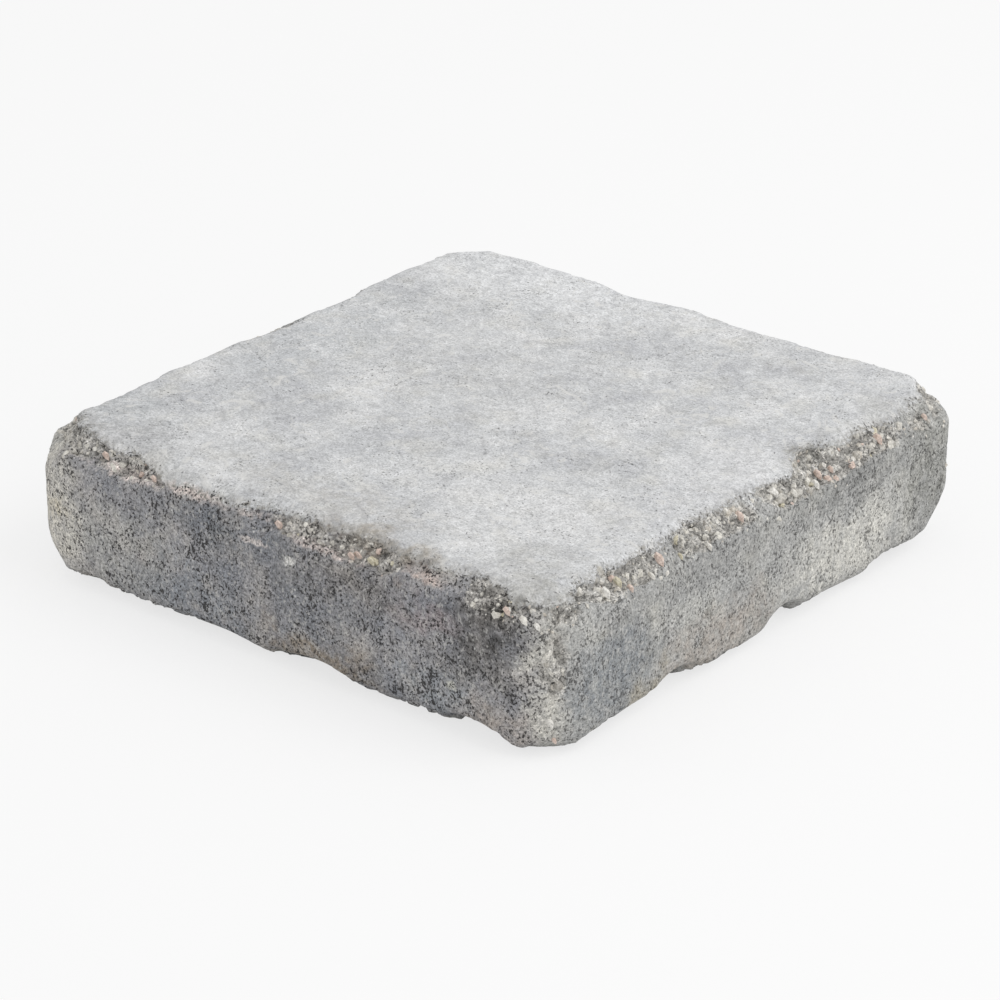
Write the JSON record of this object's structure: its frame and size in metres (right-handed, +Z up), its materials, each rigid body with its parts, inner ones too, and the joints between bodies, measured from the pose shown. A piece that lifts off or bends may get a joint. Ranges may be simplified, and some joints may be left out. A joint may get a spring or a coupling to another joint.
{
  "type": "concrete paving stone",
  "caption": "Square tumbled concrete paving stone with rounded corners, worn and chipped arrises, and flat top and bottom faces.",
  "frame": {"origin": "middle of the flat bottom face, on the ground the stone lies on", "axes": "+Z up out of the wearing face, +X and +Y along the sides; the picture looks at the -Y side (left in the picture) and the +X side (right in the picture)"},
  "size_m": [0.21, 0.21, 0.05],
  "materials": {
    "concrete": "pressed concrete, matt, pale grey on top and darker blue-grey on the sides, with grit showing on the worn arrises"
  },
  "bodies": {
    "root": {"paving_stone": "concrete"}
  },
  "joints": []
}
